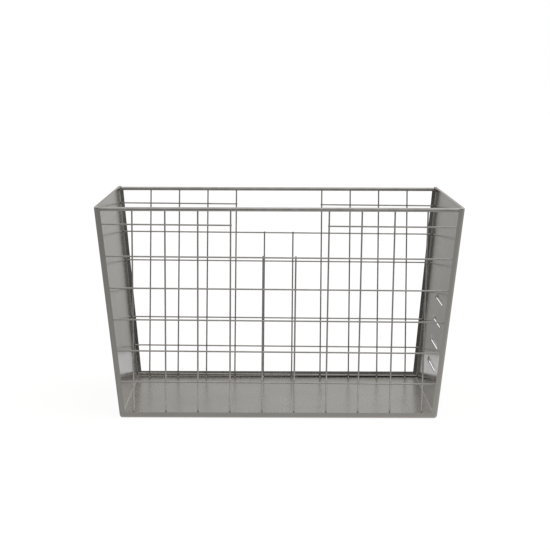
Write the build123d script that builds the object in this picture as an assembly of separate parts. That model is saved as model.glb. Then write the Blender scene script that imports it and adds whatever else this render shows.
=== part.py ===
"""Deep flared cargo basket: a sheet-steel cradle closed in front and behind by welded wire mesh.

Frame, in millimetres: X across the basket, Y from its front to its rear, Z up. The origin is
the centre of the underside. The basket is open at the top.
"""

from build123d import *
import os
from math import atan2, cos, sin

# Outside of the sheet-steel cradle
TOP_WIDTH = 572.0
BOTTOM_WIDTH = 503.5
TOP_DEPTH = 408.0
BOTTOM_DEPTH = 334.0
HEIGHT = 340.0

# Sheet
SHEET = 1.5  # thickness
BEND_OUTSIDE = 3.0  # radius
BEND_INSIDE = BEND_OUTSIDE - SHEET
FLOOR_BEND_OUTSIDE = 5.0  # radius, between the floor and the side walls
FLOOR_BEND_INSIDE = FLOOR_BEND_OUTSIDE - SHEET
SIDE_FLANGE = 9.0  # turned in along the front and rear edges of the side panels
LIP = 6.5  # turned in along the top of each side panel

# Rim rods and mesh wire
ROD_DIAMETER = 6.3
WIRE_DIAMETER = 2.5
CELL = 50.8  # pitch of the mesh, both ways
COLUMNS = 10  # upright wires in each mesh
WIRE_STUB = 2.0  # how far a wire that ends at a crossing runs past its centre
STUB_COLUMNS = WIRE_STUB / CELL
BEYOND_WALL = 1.5  # columns by which a row starts and ends outside the mesh, to be cut back
MESH_SKEW = 0.0065  # radians: the meshes are welded in slightly out of square

# Hand window at the top of each mesh, between these columns and above this row
WINDOW_LEFT_COLUMN = 3
WINDOW_RIGHT_COLUMN = 6
WINDOW_SILL_ROW = 1

# Louvres of the right side panel
LOUVRES = 4
LOUVRE_FIRST = 56.0  # height of the lowest slot above the underside
LOUVRE_PITCH = 36.3
LOUVRE_LENGTH = 114.0
LOUVRE_RISE = 10.0  # from the slot up to where the hood meets the wall
LOUVRE_PROJECTION = 3.2
LOUVRE_FORWARD = 20.0  # from the middle of the panel to the middle of the louvres

# Slopes of the walls, in radians from upright
SIDE_FLARE = atan2((TOP_WIDTH - BOTTOM_WIDTH) / 2, HEIGHT)
END_FLARE = atan2((TOP_DEPTH - BOTTOM_DEPTH) / 2, HEIGHT)

# Distances in from the outer face of the front or rear flanges
CROSS_WIRE_INSET = SHEET + WIRE_DIAMETER / 2  # lies on the side flanges
UPRIGHT_INSET = CROSS_WIRE_INSET + WIRE_DIAMETER
ROD_INSET = SHEET + ROD_DIAMETER / 2

# The rods lie in the corner below the side panels' lips
ROD_HEIGHT = HEIGHT - SHEET - ROD_DIAMETER / 2
RIM = (ROD_HEIGHT - ROD_INSET * sin(END_FLARE)) / cos(END_FLARE)  # up the slope

FRONT = -1
REAR = 1
FLOOR_FLANGE = {FRONT: 9.0, REAR: 10.3}  # turned up along the edges of the floor
# Each mesh: cross-wire rows, its drop from the rim to the first row, its shift along X
MESH_ROWS = {FRONT: 6, REAR: 7}
MESH_DROP = {FRONT: 25.3, REAR: 27.3}
MESH_SHIFT = {FRONT: 0.9, REAR: 2.2}


def half_width(z):
    """Half the outside width at a height."""
    return BOTTOM_WIDTH / 2 + z * (TOP_WIDTH - BOTTOM_WIDTH) / 2 / HEIGHT


def half_depth(z):
    """Half the outside depth at a height."""
    return BOTTOM_DEPTH / 2 + z * (TOP_DEPTH - BOTTOM_DEPTH) / 2 / HEIGHT


def flared_block(side_inset, end_inset, z_low, z_high):
    """Solid between four slanted faces, each set in from the outside of the cradle."""

    def corners(z):
        x = half_width(z) - side_inset / cos(SIDE_FLARE)
        y = half_depth(z) - end_inset / cos(END_FLARE)
        return [(-x, -y, z), (x, -y, z), (x, y, z), (-x, y, z)]

    low = corners(z_low)
    high = corners(z_high)
    outlines = [low[::-1], high]
    for i in range(4):
        j = (i + 1) % 4
        outlines.append([low[i], low[j], high[j], high[i]])
    return Solid(Shell([Face(Wire.make_polygon(outline)) for outline in outlines]))


def rounded_below(block, radius):
    """Flared block with a bend between its underside and each side wall."""
    return fillet(block.edges().filter_by(Axis.Y).group_by(Axis.Z)[0], radius)


def rounded(block, radius, floor_radius):
    """Flared block with all its edges rounded."""
    bent = rounded_below(block, floor_radius)
    sharp = bent.edges().filter_by(Axis.Y, reverse=True)
    sharp += bent.edges().filter_by(Axis.Y).group_by(Axis.Z)[-1]
    return fillet(sharp, radius)


def flared_opening(side_inset, z_low, z_high):
    """Outline in the XZ plane, with its sides parallel to the side walls."""

    def x(z):
        return half_width(z) - side_inset / cos(SIDE_FLARE)

    outline = [(-x(z_low), z_low), (x(z_low), z_low), (x(z_high), z_high), (-x(z_high), z_high)]
    return Plane.XZ * make_face(Polyline(outline, close=True))


def cradle():
    """The bent-up sheet: floor, side walls, flanges all round and the top lips."""
    outside = flared_block(0, 0, 0, HEIGHT)
    outside = rounded(outside, BEND_OUTSIDE, FLOOR_BEND_OUTSIDE)
    inside = flared_block(SHEET, SHEET, SHEET, HEIGHT - SHEET)
    inside = rounded(inside, BEND_INSIDE, FLOOR_BEND_INSIDE)
    above = HEIGHT + BEND_OUTSIDE
    opened = outside - inside
    opened -= extrude(flared_opening(LIP, HEIGHT - BEND_OUTSIDE, above), TOP_DEPTH, both=True)
    for end, flange in FLOOR_FLANGE.items():
        opened -= extrude(flared_opening(SIDE_FLANGE, flange, above), -end * TOP_DEPTH)
    return opened


def seam_plane(side):
    """Mitre between the floor and a side wall; its normal points to the wall's side."""
    into_corner = Vector(-side * (1 - sin(SIDE_FLARE)), 0, cos(SIDE_FLARE)).normalized()
    normal = Vector(side * into_corner.Z, 0, -side * into_corner.X)
    return Plane(origin=(side * BOTTOM_WIDTH / 2, 0, 0), x_dir=(0, 1, 0), z_dir=normal)


def louvre_core(radius):
    """Upper half of a round-ended bar along X that bulges out of the wall it lies in."""
    straight = LOUVRE_LENGTH - 2 * LOUVRE_RISE
    bar = Rot(0, 90, 0) * Cylinder(radius, straight)
    for end in (-1, 1):
        bar += Pos(end * straight / 2, 0, 0) * Sphere(radius)
    depth_of_axis = (LOUVRE_RISE**2 - LOUVRE_PROJECTION**2) / 2 / LOUVRE_PROJECTION
    bar = Pos(0, 0, -depth_of_axis) * bar
    outer_half = Box(
        LOUVRE_LENGTH + 2 * radius,
        2 * radius,
        2 * radius,
        align=(Align.CENTER, Align.MIN, Align.MIN),
    )
    return bar & Pos(0, 0, -SHEET) * outer_half


def add_louvre(panel, z):
    """Lance a slot through the right wall and push its upper edge out into a hood."""
    place = Plane(
        origin=(half_width(z), -LOUVRE_FORWARD, z),
        x_dir=(0, 1, 0),
        z_dir=(cos(SIDE_FLARE), 0, -sin(SIDE_FLARE)),
    )
    radius = (LOUVRE_RISE**2 + LOUVRE_PROJECTION**2) / 2 / LOUVRE_PROJECTION
    return panel + place * louvre_core(radius) - place * louvre_core(radius - SHEET)


def panel_point(end, x, up, inward):
    """Point of the front or rear end: up its slope and in from its outer face."""
    y = end * (BOTTOM_DEPTH / 2 + up * sin(END_FLARE) - inward * cos(END_FLARE))
    return Vector(x, y, up * cos(END_FLARE) + inward * sin(END_FLARE))


def mesh_point(end, column, row, inward):
    """Crossing of a mesh; columns and rows count from the top left seen from the front."""
    across = (column - (COLUMNS - 1) / 2) * CELL
    down = row * CELL
    x = MESH_SHIFT[end] + across * cos(MESH_SKEW) - down * sin(MESH_SKEW)
    up = RIM - MESH_DROP[end] - across * sin(MESH_SKEW) - down * cos(MESH_SKEW)
    return panel_point(end, x, up, inward)


def row_at(end, column, up):
    """Row number at which an upright wire reaches a height up the slope."""
    across = (column - (COLUMNS - 1) / 2) * CELL
    first_row = RIM - MESH_DROP[end] - across * sin(MESH_SKEW)
    return (first_row - up) / (CELL * cos(MESH_SKEW))


def bar(start, finish, diameter):
    """Round bar between two points."""
    along = finish - start
    return Solid.make_cylinder(diameter / 2, along.length, Plane(origin=start, z_dir=along))


def rim_rod(end):
    """Rod across the top of an end, running between the two side walls."""
    reach = TOP_WIDTH / 2
    start = panel_point(end, -reach, RIM, ROD_INSET)
    finish = panel_point(end, reach, RIM, ROD_INSET)
    return bar(start, finish, ROD_DIAMETER) & between_walls


def cross_wire(end, row, from_column, to_column):
    """Wire of a mesh row; its ends at the side panels are cut parallel to the walls."""
    start = mesh_point(end, from_column, row, CROSS_WIRE_INSET)
    finish = mesh_point(end, to_column, row, CROSS_WIRE_INSET)
    return bar(start, finish, WIRE_DIAMETER) & between_walls


def upright_wire(end, column):
    """Wire of a mesh column, from the floor to the rim rod or to the window's sill."""
    in_window = WINDOW_LEFT_COLUMN < column < WINDOW_RIGHT_COLUMN
    top_row = WINDOW_SILL_ROW - STUB_COLUMNS if in_window else row_at(end, column, RIM)
    start = mesh_point(end, column, row_at(end, column, 0), UPRIGHT_INSET)
    finish = mesh_point(end, column, top_row, UPRIGHT_INSET)
    wire = bar(start, finish, WIRE_DIAMETER) & between_walls
    return wire if in_window else wire - rods[end]


def save(shape, name):
    """Write one sub-part."""
    export_step(shape, f"parts/{name}.step")


os.makedirs("parts", exist_ok=True)

# Space above the floor that rods and wires fill, short of the bends of the side walls
between_walls = flared_block(SHEET + BEND_INSIDE, 0, SHEET, HEIGHT)
between_walls = rounded_below(between_walls, FLOOR_BEND_INSIDE)

sheet_steel = cradle()
left_cut = seam_plane(-1)
right_cut = seam_plane(1)
left_panel = split(sheet_steel, bisect_by=left_cut, keep=Keep.TOP)
right_panel = split(sheet_steel, bisect_by=right_cut, keep=Keep.TOP)
floor_pan = split(sheet_steel, bisect_by=left_cut, keep=Keep.BOTTOM)
floor_pan = split(floor_pan, bisect_by=right_cut, keep=Keep.BOTTOM)
for number in range(LOUVRES):
    right_panel = add_louvre(right_panel, LOUVRE_FIRST + number * LOUVRE_PITCH)
save(left_panel, "left_side_panel")
save(right_panel, "right_side_panel")
save(floor_pan, "floor_pan")

rods = {end: rim_rod(end) for end in (FRONT, REAR)}
for end, name in ((FRONT, "front"), (REAR, "rear")):
    save(rods[end], f"{name}_rim_rod")
    for column in range(COLUMNS):
        save(upright_wire(end, column), f"{name}_upright_wire_{column + 1:02}")
    first = -BEYOND_WALL
    last = COLUMNS - 1 + BEYOND_WALL
    save(cross_wire(end, 0, first, WINDOW_LEFT_COLUMN + STUB_COLUMNS), f"{name}_cross_wire_1_left")
    save(cross_wire(end, 0, WINDOW_RIGHT_COLUMN - STUB_COLUMNS, last), f"{name}_cross_wire_1_right")
    for row in range(WINDOW_SILL_ROW, MESH_ROWS[end]):
        save(cross_wire(end, row, first, last), f"{name}_cross_wire_{row + 1}")
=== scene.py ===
"""Studio picture of the deep flared cargo basket: its steel finishes, its welds and the studio.

Everything is in metres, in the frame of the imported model: X across the basket, Y from its front
to its rear, Z up, with the origin at the centre of the underside.
"""

from math import cos, pi, radians, sin
from random import Random

import bpy
import numpy as np
from mathutils import Euler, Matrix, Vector


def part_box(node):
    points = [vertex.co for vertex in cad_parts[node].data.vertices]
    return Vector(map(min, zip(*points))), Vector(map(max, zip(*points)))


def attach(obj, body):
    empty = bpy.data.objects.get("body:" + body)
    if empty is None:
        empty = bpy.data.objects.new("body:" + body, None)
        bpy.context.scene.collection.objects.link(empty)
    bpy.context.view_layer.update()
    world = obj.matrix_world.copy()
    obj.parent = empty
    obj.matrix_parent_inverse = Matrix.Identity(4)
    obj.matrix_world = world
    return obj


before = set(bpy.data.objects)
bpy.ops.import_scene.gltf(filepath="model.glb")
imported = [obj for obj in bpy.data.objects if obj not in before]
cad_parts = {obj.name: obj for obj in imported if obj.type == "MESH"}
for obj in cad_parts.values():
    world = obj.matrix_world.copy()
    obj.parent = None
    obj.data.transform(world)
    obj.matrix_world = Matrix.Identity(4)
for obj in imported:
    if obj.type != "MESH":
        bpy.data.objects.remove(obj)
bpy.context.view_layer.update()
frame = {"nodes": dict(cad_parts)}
nodes = frame["nodes"]

MM = 0.001

# Camera
CAMERA_AT = Vector((-0.0181, -2.6650, 0.5640))
CAMERA_DOWN = radians(7.633)
CAMERA_ROLL = radians(-0.204)
CAMERA_YAW = radians(-0.244)
LENS_MM = 105.1
SENSOR_MM = 36

# Steel
SHEET_COLOUR = (0.500, 0.485, 0.465)
ROD_COLOUR = (0.420, 0.415, 0.405)
WIRE_COLOUR = (0.410, 0.405, 0.395)
WELD_COLOUR = (0.280, 0.270, 0.260)
WELD_TINT = (0.380, 0.330, 0.260)
WHITE = (1, 1, 1)
WALL_ROUGHNESS = 0.13
FLOOR_ROUGHNESS = 0.20  # dulled by what has stood on it
ROD_ROUGHNESS = 0.20
WIRE_ROUGHNESS = 0.24
PAINTED_FLOOR_LIGHT_GAIN = 1.75  # painted highlight in place of light from the floor: the front uprights and all the foot welds are painted brighter near the floor
PAINTED_FLOOR_LIGHT_TOP = 0.085  # from this height down
PAINTED_FLOOR_LIGHT_FULL_BELOW = 0.060

# Textures: features a metre along X, Y and Z
SHEET_CLOUDS = (9, 9, 9)
SHEET_GRAIN = (1400, 22, 1400)
SHEET_SCRATCHES = (260, 3, 260)
SHEET_WAVES = (14, 10, 14)
LINES_ACROSS = (25, 1500, 1500)
LINES_UPWARDS = (1500, 1500, 25)
DULL_STRETCHES = (60, 60, 60)
WELD_SPOTS = (900, 900, 900)
NOISE_LOW = 0.3  # noise lies mostly between these two values
NOISE_HIGH = 0.7

# Studio: levels of the room's light as (sine of the height above the horizon, level)
ROOM_TINT = (1.0, 0.985, 0.955)
BEHIND = (
    (-1.0, 0.65),
    (-0.5, 0.60),
    (-0.3, 0.40),
    (-0.17, 0.375),
    (-0.06, 0.485),
    (0.0, 0.495),
    (0.2, 0.475),
    (0.5, 0.85),
    (1.0, 1.0),
)
BEFORE = (
    (-1.0, 0.45),
    (-0.43, 0.56),
    (-0.36, 0.42),
    (-0.29, 0.33),
    (-0.11, 0.06),
    (0.0, 0.02),
    (0.1, 0.03),
    (0.18, 0.20),
    (0.3, 0.50),
    (0.5, 0.85),
    (1.0, 1.0),
)
# BEHIND gives way to BEFORE as Y + BEFORE_NARROWING * |X| of the direction falls between these
BEHIND_TO = -0.3
BEFORE_FROM = -0.75
BEFORE_NARROWING = 1.5
LIT_SIDE = 0.25  # the room grows lighter towards +X up to this far off the axis
LIT_SIDE_GAIN = 0.18  # by this much either way
FLOOR_ALBEDO = 0.15
FLOOR_GLOW = 0.90
FLOOR_REACH = 14  # half of its side
FLOOR_HEIGHT = -0.5 * MM
BRIGHT_SHEET_GLOW = 0.66
BRIGHT_SHEET_REACH = 1.2  # half of its width
BRIGHT_SHEET_NEAR = 0.19
BRIGHT_SHEET_FAR = 0.455
BRIGHT_SHEET_HEIGHT = -0.3 * MM

# Welds
SPOT = Vector((1.5, 1.5, 0.85)) * MM  # nugget between two crossing wires: half sizes
END_SPOT = Vector((2.4, 1.5, 0.7)) * MM  # a cross wire's end on a flange
END_SPOT_INSET = 3 * MM  # in from the end of the wire
TOP_SPOT = Vector((1.9, 1.5, 0.9)) * MM  # an upright under the rim rod
FOOT_SPOT = Vector((1.9, 1.9, 0.8)) * MM  # an upright on the floor
NUGGET_THINNEST = 0.9  # a nugget's outline varies between these parts of its size
NUGGET_WIDEST = 1.12
NUGGET_FLATNESS = 0.8  # power of the sine that shapes its side: 1 is an ellipsoid
ROD_BEAD = 0.85 * MM  # radius of the bead round each end of a rim rod
BEAD_RIPPLES = 18
BEAD_RIPPLE = 0.12  # of the bead's radius
NEAR = 1 * MM  # a wire reaches a crossing or the rod if it stops less than this short of it
END_SLICE = 3 * MM  # length of a bar from which the middle of its end is found


def make_camera():
    """The camera: in front of the basket and a little above it, looking slightly down."""
    data = bpy.data.cameras.new("camera")
    data.lens = LENS_MM
    data.sensor_width = SENSOR_MM
    camera = bpy.data.objects.new("camera", data)
    camera.location = CAMERA_AT
    camera.rotation_euler = Euler((radians(90) - CAMERA_DOWN, CAMERA_ROLL, CAMERA_YAW), "XYZ")
    bpy.context.scene.collection.objects.link(camera)
    bpy.context.scene.camera = camera
    bpy.context.scene.view_settings.view_transform = "Standard"


def socket(sockets, name):
    """The socket of this name that is in use: a mix node has one of each for every data type."""
    return [s for s in sockets if s.name == name and s.enabled][0]


class Nodes:
    """A tree of shader nodes."""

    def __init__(self, tree):
        self.tree = tree

    def add(self, kind, **settings):
        node = self.tree.nodes.new(kind)
        for key, value in settings.items():
            setattr(node, key, value)
        return node

    def link(self, output, node, name):
        self.tree.links.new(output, node.inputs[name])

    def ramp(self, value, low, high, to_low=0.0, to_high=1.0, shape="LINEAR"):
        """A value between low and high mapped to the range between two others."""
        node = self.add("ShaderNodeMapRange", interpolation_type=shape)
        node.inputs["From Min"].default_value = low
        node.inputs["From Max"].default_value = high
        node.inputs["To Min"].default_value = to_low
        node.inputs["To Max"].default_value = to_high
        self.link(value, node, "Value")
        return node.outputs["Result"]

    def mix(self, kind, factor, first, second):
        """Two colours mixed; each of the three values is a number, a colour or a socket."""
        node = self.add("ShaderNodeMix", data_type="RGBA", blend_type=kind)
        for name, value in (("Factor", factor), ("A", first), ("B", second)):
            target = socket(node.inputs, name)
            if isinstance(value, bpy.types.NodeSocket):
                self.tree.links.new(value, target)
            else:
                target.default_value = value
        return socket(node.outputs, "Result")


class Shader(Nodes):
    """A material whose Principled shader is fed by procedural textures."""

    def __init__(self, name):
        self.material = bpy.data.materials.new(name)
        self.material.use_nodes = True
        super().__init__(self.material.node_tree)
        self.surface = self.tree.nodes["Principled BSDF"]
        self.surface.inputs["Metallic"].default_value = 1
        self.place = self.add("ShaderNodeTexCoord").outputs["Object"]

    def noise(self, stretch, detail=3.0, roughness=0.5):
        """Noise with this many features a metre along X, Y and Z."""
        mapping = self.add("ShaderNodeMapping")
        mapping.inputs["Scale"].default_value = stretch
        self.link(self.place, mapping, "Vector")
        texture = self.add("ShaderNodeTexNoise")
        texture.inputs["Scale"].default_value = 1.0
        texture.inputs["Detail"].default_value = detail
        texture.inputs["Roughness"].default_value = roughness
        self.link(mapping.outputs["Vector"], texture, "Vector")
        return texture.outputs["Fac"]

    def spread(self, value, low, high):
        """Noise spread between two values."""
        return self.ramp(value, NOISE_LOW, NOISE_HIGH, low, high)

    def roughen(self, first, second):
        """Roughness as the sum of two values."""
        total = self.add("ShaderNodeMath", operation="ADD")
        self.link(first, total, 0)
        self.link(second, total, 1)
        self.link(total.outputs[0], self.surface, "Roughness")

    def bump(self, height, distance, under=None):
        node = self.add("ShaderNodeBump")
        node.inputs["Distance"].default_value = distance
        self.link(height, node, "Height")
        if under is not None:
            self.link(under, node, "Normal")
        return node.outputs["Normal"]


def shade(colour, factor):
    """Opaque colour, made this many times as bright."""
    return (*(c * factor for c in colour), 1)


def sheet_material(name, roughness):
    """Cold-rolled sheet: a fine grain from front to rear, faint clouding and handling marks."""
    s = Shader(name)
    clouds = s.noise(SHEET_CLOUDS, detail=4, roughness=0.6)
    grain = s.noise(SHEET_GRAIN, detail=2)
    scratches = s.noise(SHEET_SCRATCHES, detail=4, roughness=0.7)
    cloudy = s.spread(clouds, 0, 1)
    colour = s.mix("MIX", cloudy, shade(SHEET_COLOUR, 0.95), shade(SHEET_COLOUR, 1.05))
    lines = s.mix("MIX", s.spread(grain, 0, 1), shade(WHITE, 0.96), shade(WHITE, 1))
    s.link(s.mix("MULTIPLY", 1.0, colour, lines), s.surface, "Base Color")
    s.roughen(s.spread(scratches, roughness, roughness + 0.06), s.spread(clouds, 0, 0.05))
    waves = s.bump(s.noise(SHEET_WAVES, detail=1), 0.25 * MM)
    s.link(s.bump(grain, 0.0015 * MM, waves), s.surface, "Normal")
    return s.material


def drawn_material(name, colour, stretch, roughness, floor_light_gain=1.0):
    """Drawn rod or wire: fine die lines along it, duller stretches, and a painted highlight near its
    foot in place of light from the floor.
    """
    s = Shader(name)
    lines = s.noise(stretch, detail=3)
    dull = s.noise(DULL_STRETCHES, detail=3, roughness=0.6)
    mixed = s.mix("MIX", s.spread(dull, 0, 1), shade(colour, 0.88), shade(colour, 1.1))
    height = s.add("ShaderNodeSeparateXYZ")
    s.link(s.place, height, "Vector")
    # painted light: the colour is made brighter near the floor, in place of light reflected from the
    # floor
    foot = s.ramp(height.outputs["Z"], PAINTED_FLOOR_LIGHT_TOP, PAINTED_FLOOR_LIGHT_FULL_BELOW, shape="SMOOTHSTEP")
    bright = s.mix("MULTIPLY", 1.0, mixed, shade(WHITE, floor_light_gain))
    s.link(s.mix("MIX", foot, mixed, bright), s.surface, "Base Color")
    uneven = s.spread(lines, roughness - 0.04, roughness + 0.04)
    s.roughen(uneven, s.spread(dull, 0, 0.06))
    s.link(s.bump(lines, 0.004 * MM), s.surface, "Normal")
    return s.material


def weld_material(name, painted_light_gain=1.0):
    """Resistance and fusion welds: darker, rippled, with a trace of straw heat tint; the gain paints
    them brighter, in place of light from the floor.
    """
    s = Shader(name)
    spots = s.noise(WELD_SPOTS, detail=4, roughness=0.65)
    dark = shade(WELD_COLOUR, 0.75 * painted_light_gain)
    mixed = s.mix("MIX", s.spread(spots, 0, 1), dark, shade(WELD_TINT, painted_light_gain))
    s.link(mixed, s.surface, "Base Color")
    s.link(s.spread(spots, 0.28, 0.45), s.surface, "Roughness")
    s.link(s.bump(spots, 0.06 * MM), s.surface, "Normal")
    return s.material


def dress_nodes():
    """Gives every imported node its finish."""
    wall = sheet_material("sheet_steel", WALL_ROUGHNESS)
    floor = sheet_material("floor_steel", FLOOR_ROUGHNESS)
    wire = (WIRE_COLOUR, LINES_UPWARDS, WIRE_ROUGHNESS)
    rod = drawn_material("rod_steel", ROD_COLOUR, LINES_ACROSS, ROD_ROUGHNESS)
    cross_wire = drawn_material("cross_wire_steel", WIRE_COLOUR, LINES_ACROSS, WIRE_ROUGHNESS)
    rear_upright = drawn_material("rear_upright_steel", *wire)
    # the front uprights get the painted floor light near their feet
    front_upright = drawn_material("front_upright_steel", *wire, PAINTED_FLOOR_LIGHT_GAIN)
    for name, node in nodes.items():
        if "front_upright" in name:
            finish = front_upright
        elif "rear_upright" in name:
            finish = rear_upright
        elif "cross_wire" in name:
            finish = cross_wire
        elif "rod" in name:
            finish = rod
        elif "floor" in name:
            finish = floor
        else:
            finish = wall
        node.data.materials.clear()
        node.data.materials.append(finish)


def axis(name):
    """Ends of the axis of a straight bar: the lower or left one first."""
    points = np.array([v.co for v in nodes[name].data.vertices], float)
    middle = points.mean(0)
    along = np.linalg.svd(points - middle, full_matrices=False)[2][0]
    along *= np.sign(along[np.argmax(abs(along))])
    first = np.cross(along, (0, 1, 0))
    first /= np.linalg.norm(first)
    second = np.cross(along, first)
    reach = (points - middle) @ along
    ends = []
    for stop in (reach.min(), reach.max()):
        ring = points[abs(reach - stop) < END_SLICE] - middle
        centre = middle + along * stop
        for side in (first, second):
            across = ring @ side
            centre = centre + side * (across.min() + across.max()) / 2
        ends.append(Vector(centre))
    return ends


def meet(first, second):
    """Where two bars come nearest: the middle of the gap, and the way from one to the other."""
    a, u = first[0], first[1] - first[0]
    b, v = second[0], second[1] - second[0]
    w = a - b
    uu, uv, vv, uw, vw = u.dot(u), u.dot(v), v.dot(v), u.dot(w), v.dot(w)
    bottom = uu * vv - uv * uv
    p = a + u * ((uv * vw - vv * uw) / bottom)
    q = b + v * ((uu * vw - uv * uw) / bottom)
    return (p + q) / 2, q - p


def nugget(centre, along, normal, half, random):
    """Vertices and faces of one weld nugget, a lens that the current has squeezed out unevenly."""
    rings, sides = 7, 14
    z = normal.normalized()
    x = (along - z * along.dot(z)).normalized()
    y = z.cross(x)
    bulge = [random.uniform(NUGGET_THINNEST, NUGGET_WIDEST) for _ in range(sides)]
    points = [centre - z * half.z]
    for i in range(1, rings):
        angle = pi * i / rings
        for j in range(sides):
            turn = 2 * pi * j / sides
            spread = sin(angle) ** NUGGET_FLATNESS * (bulge[j] + bulge[j - 1]) / 2
            point = x * half.x * cos(turn) * spread + y * half.y * sin(turn) * spread
            points.append(centre + point - z * half.z * cos(angle))
    points.append(centre + z * half.z)
    faces = []
    top = len(points) - 1
    last = top - sides
    for j in range(sides):
        k = (j + 1) % sides
        faces.append((0, 1 + k, 1 + j))
        for i in range(rings - 2):
            low, high = 1 + i * sides, 1 + (i + 1) * sides
            faces.append((low + j, low + k, high + k, high + j))
        faces.append((last + j, last + k, top))
    return points, faces


def ring_bead(centre, along, radius, bead):
    """Fusion bead round a rod where it meets a wall, with the ripples of the weld pool."""
    turns, sides = 72, 10
    z = along.normalized()
    x = z.cross(Vector((0, 0, 1))).normalized()
    y = z.cross(x)
    points = []
    for i in range(turns):
        turn = 2 * pi * i / turns
        out = x * cos(turn) + y * sin(turn)
        thickness = bead * (1 + BEAD_RIPPLE * sin(BEAD_RIPPLES * turn))
        for j in range(sides):
            tilt = 2 * pi * j / sides
            points.append(centre + out * (radius + thickness * cos(tilt)) + z * thickness * sin(tilt))
    faces = []
    for i in range(turns):
        for j in range(sides):
            a, b = i * sides, (i + 1) % turns * sides
            k = (j + 1) % sides
            faces.append((a + j, b + j, b + k, a + k))
    return points, faces


def join(shapes):
    """Vertices and faces of several shapes in one list each."""
    points, faces = [], []
    for more_points, more_faces in shapes:
        start = len(points)
        points += more_points
        faces += [tuple(start + i for i in face) for face in more_faces]
    return points, faces


def piece(name, shapes, finish):
    """One smooth-shaded piece made of these shapes, welded to the basket."""
    points, faces = join(shapes)
    mesh = bpy.data.meshes.new(name)
    mesh.from_pydata(points, [], faces)
    mesh.polygons.foreach_set("use_smooth", [True] * len(mesh.polygons))
    mesh.materials.append(finish)
    mesh.update()
    made = bpy.data.objects.new(name, mesh)
    bpy.context.scene.collection.objects.link(made)
    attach(made, "root")


def add_welds():
    """Every weld of the two meshes and their rods."""
    finish = weld_material("weld_steel")
    # the foot welds get painted light: brighter, in place of light reflected from the floor
    floor_lit_finish = weld_material("foot_weld_steel", PAINTED_FLOOR_LIGHT_GAIN)
    random = Random(5)
    for end in ("front", "rear"):
        uprights = [axis(n) for n in sorted(nodes) if n.startswith(f"{end}_upright_wire")]
        rows = [axis(n) for n in sorted(nodes) if n.startswith(f"{end}_cross_wire")]
        rod = axis(f"{end}_rim_rod")
        crossings = []
        for upright in uprights:
            for row in rows:
                at, gap = meet(upright, row)
                on_upright = upright[0].z - NEAR < at.z < upright[1].z + NEAR
                on_row = row[0].x - NEAR < at.x < row[1].x + NEAR
                if on_upright and on_row:
                    crossings.append(nugget(at, row[1] - row[0], gap, SPOT, random))
        piece(f"{end}_mesh_welds", crossings, finish)

        flange_welds = []
        to_row = meet(uprights[0], rows[-1])[1]
        to_flange = to_row / 2
        for row in rows:
            for outer, inner in (row, row[::-1]):
                if abs(outer.x) > abs(uprights[0][0].x):
                    way = (inner - outer).normalized()
                    at = outer + way * END_SPOT_INSET + to_flange
                    flange_welds.append(nugget(at, way, to_flange, END_SPOT, random))
        piece(f"{end}_flange_welds", flange_welds, finish)

        rod_low, rod_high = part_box(f"{end}_rim_rod")
        rod_welds = [
            nugget(u[1], rod[1] - rod[0], u[1] - u[0], TOP_SPOT, random)
            for u in uprights
            if u[1].z > rod_low.z - NEAR
        ]
        rod_radius = (rod_high.z - rod_low.z) / 2
        for at in rod:
            rod_welds.append(ring_bead(at, rod[1] - rod[0], rod_radius, ROD_BEAD))
        piece(f"{end}_rod_welds", rod_welds, finish)

        up = Vector((0, 0, 1))
        foot_welds = [nugget(u[0], rod[1] - rod[0], up, FOOT_SPOT, random) for u in uprights]
        piece(f"{end}_foot_welds", foot_welds, floor_lit_finish)


def stage_plane(name, low, high, height, material):
    """Level rectangle between two corners."""
    mesh = bpy.data.meshes.new(name)
    corners = [(low[0], low[1]), (high[0], low[1]), (high[0], high[1]), (low[0], high[1])]
    mesh.from_pydata([(*corner, height) for corner in corners], [], [(0, 1, 2, 3)])
    mesh.materials.append(material)
    plane = bpy.data.objects.new(name, mesh)
    bpy.context.scene.collection.objects.link(plane)
    return plane


def glowing(name, albedo, glow):
    """Matt grey that also glows white, like the acrylic of a light table."""
    material = bpy.data.materials.new(name)
    material.use_nodes = True
    surface = material.node_tree.nodes["Principled BSDF"]
    surface.inputs["Base Color"].default_value = shade(WHITE, albedo)
    surface.inputs["Roughness"].default_value = 0.9
    surface.inputs["Specular IOR Level"].default_value = 0.0
    surface.inputs["Emission Color"].default_value = shade(WHITE, 1)
    surface.inputs["Emission Strength"].default_value = glow
    return material


def room_levels(nodes, height, stops):
    """The room's light by the sine of the height above the horizon."""
    node = nodes.add("ShaderNodeValToRGB")
    while len(node.color_ramp.elements) < len(stops):
        node.color_ramp.elements.new(0.5)
    for element, (where, level) in zip(node.color_ramp.elements, stops):
        element.position = (where + 1) / 2
        element.color = shade(ROOM_TINT, level)
    nodes.link(nodes.ramp(height, -1, 1), node, "Fac")
    return node.outputs["Color"]


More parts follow.
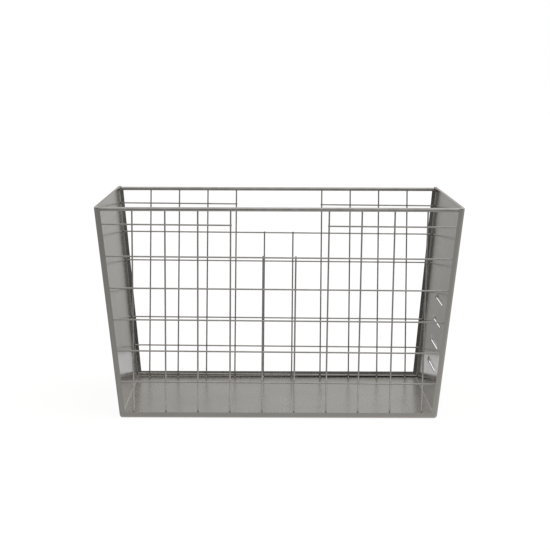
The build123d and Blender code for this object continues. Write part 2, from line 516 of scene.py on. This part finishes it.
def make_room():
    """The studio round the basket: white to look at, but lighting the steel with soft greys."""
    world = bpy.data.worlds.new("studio")
    world.use_nodes = True
    room = Nodes(world.node_tree)
    grey = room.tree.nodes["Background"]
    direction = room.add("ShaderNodeSeparateXYZ")
    room.link(room.add("ShaderNodeTexCoord").outputs["Generated"], direction, "Vector")
    x, y, z = direction.outputs

    off_axis = room.add("ShaderNodeMath", operation="ABSOLUTE")
    room.link(x, off_axis, 0)
    away = room.add("ShaderNodeMath", operation="MULTIPLY_ADD")
    room.link(off_axis.outputs["Value"], away, 0)
    away.inputs[1].default_value = BEFORE_NARROWING
    room.link(y, away, 2)
    turn = room.ramp(away.outputs["Value"], BEHIND_TO, BEFORE_FROM, shape="SMOOTHSTEP")
    behind = room_levels(room, z, BEHIND)
    before = room_levels(room, z, BEFORE)
    room.link(room.mix("MIX", turn, behind, before), grey, "Color")
    side_levels = (1 - LIT_SIDE_GAIN, 1 + LIT_SIDE_GAIN)
    room.link(room.ramp(x, -LIT_SIDE, LIT_SIDE, *side_levels), grey, "Strength")

    white = room.add("ShaderNodeBackground")
    white.inputs["Color"].default_value = shade(WHITE, 1)
    choose = room.add("ShaderNodeMixShader")
    room.link(room.add("ShaderNodeLightPath").outputs["Is Camera Ray"], choose, "Fac")
    room.link(grey.outputs["Background"], choose, 1)
    room.link(white.outputs["Background"], choose, 2)
    room.link(choose.outputs["Shader"], room.tree.nodes["World Output"], "Surface")
    bpy.context.scene.world = world


def make_studio():
    """A pale floor, and a bright sheet on it behind the basket that only the steel reflects."""
    pale = glowing("studio_floor", FLOOR_ALBEDO, FLOOR_GLOW)
    low = (-FLOOR_REACH, -FLOOR_REACH)
    high = (FLOOR_REACH, FLOOR_REACH)
    floor = stage_plane("studio_floor", low, high, FLOOR_HEIGHT, pale)
    floor.visible_glossy = False
    bright = glowing("bright_sheet", 0.0, BRIGHT_SHEET_GLOW)
    low = (-BRIGHT_SHEET_REACH, BRIGHT_SHEET_NEAR)
    high = (BRIGHT_SHEET_REACH, BRIGHT_SHEET_FAR)
    sheet = stage_plane("bright_sheet", low, high, BRIGHT_SHEET_HEIGHT, bright)
    sheet.visible_camera = False
    sheet.visible_diffuse = False
    sheet.visible_shadow = False


make_camera()
dress_nodes()
add_welds()
make_room()
make_studio()
